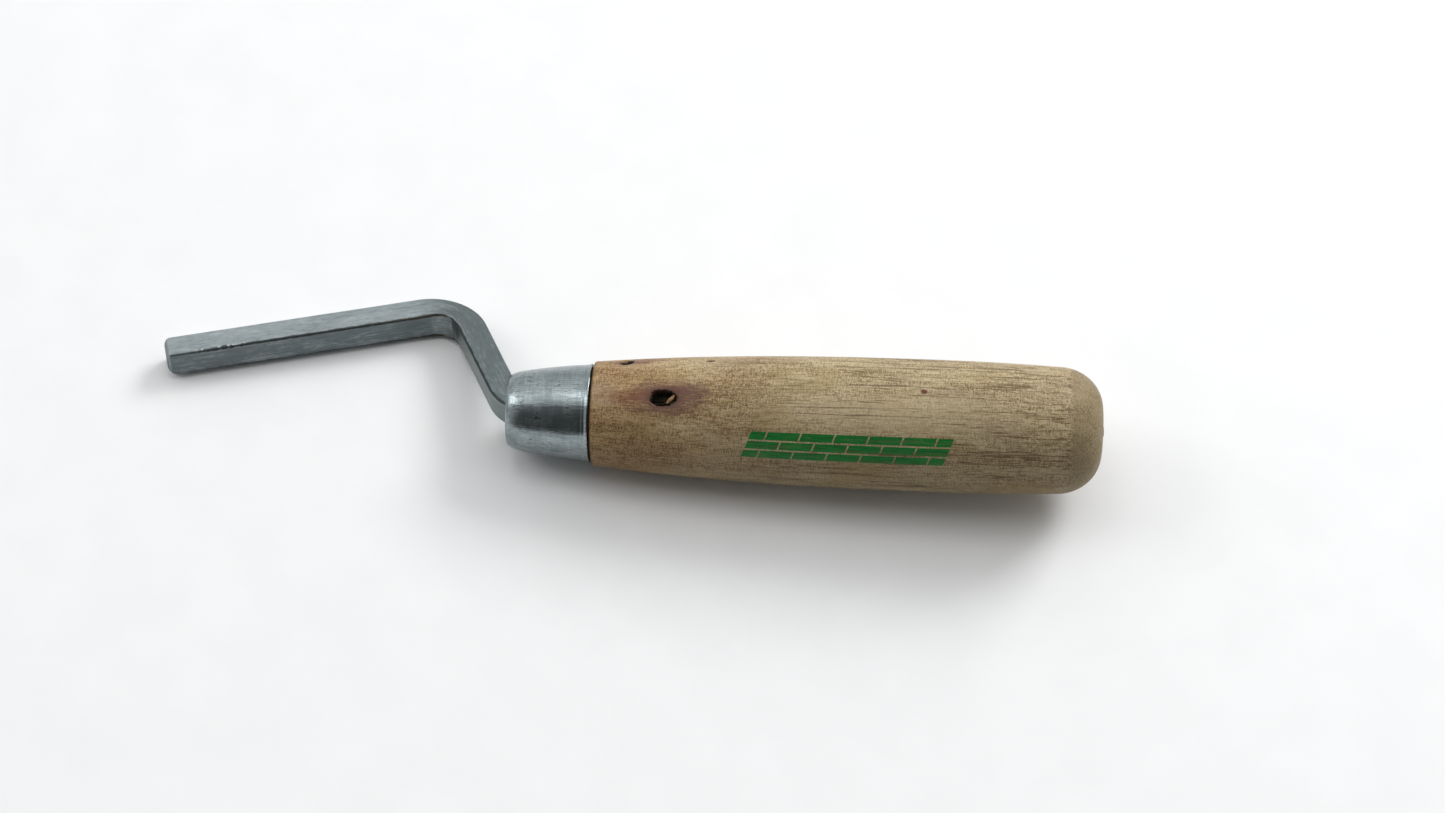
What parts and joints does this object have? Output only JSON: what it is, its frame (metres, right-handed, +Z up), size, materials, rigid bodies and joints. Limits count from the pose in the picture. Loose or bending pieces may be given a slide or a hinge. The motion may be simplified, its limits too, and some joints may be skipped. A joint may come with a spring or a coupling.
{
  "type": "brick jointer",
  "caption": "Masonry pointing tool: a square steel bar cranked clear of the hand, its tang driven into a turned wooden handle with a tapered steel ferrule.",
  "frame": {"origin": "on the bench, under the middle of the tool as it lies on its handle and its blade bend", "axes": "+X along the handle from the blade towards the butt, +Y towards the side the blade is cranked to, +Z up from the bench"},
  "size_m": [0.2164, 0.0486, 0.0328],
  "materials": {
    "bar_steel": "bright square bar, drawn lengthwise, worn along its edges",
    "ferrule_steel": "pressed steel, brushed lengthwise",
    "handle_wood": "turned and sanded hardwood with open grain and a thin satin oil"
  },
  "bodies": {
    "root": {"cranked_bar": "bar_steel", "ferrule": "ferrule_steel", "wood_handle": "handle_wood"}
  },
  "joints": []
}
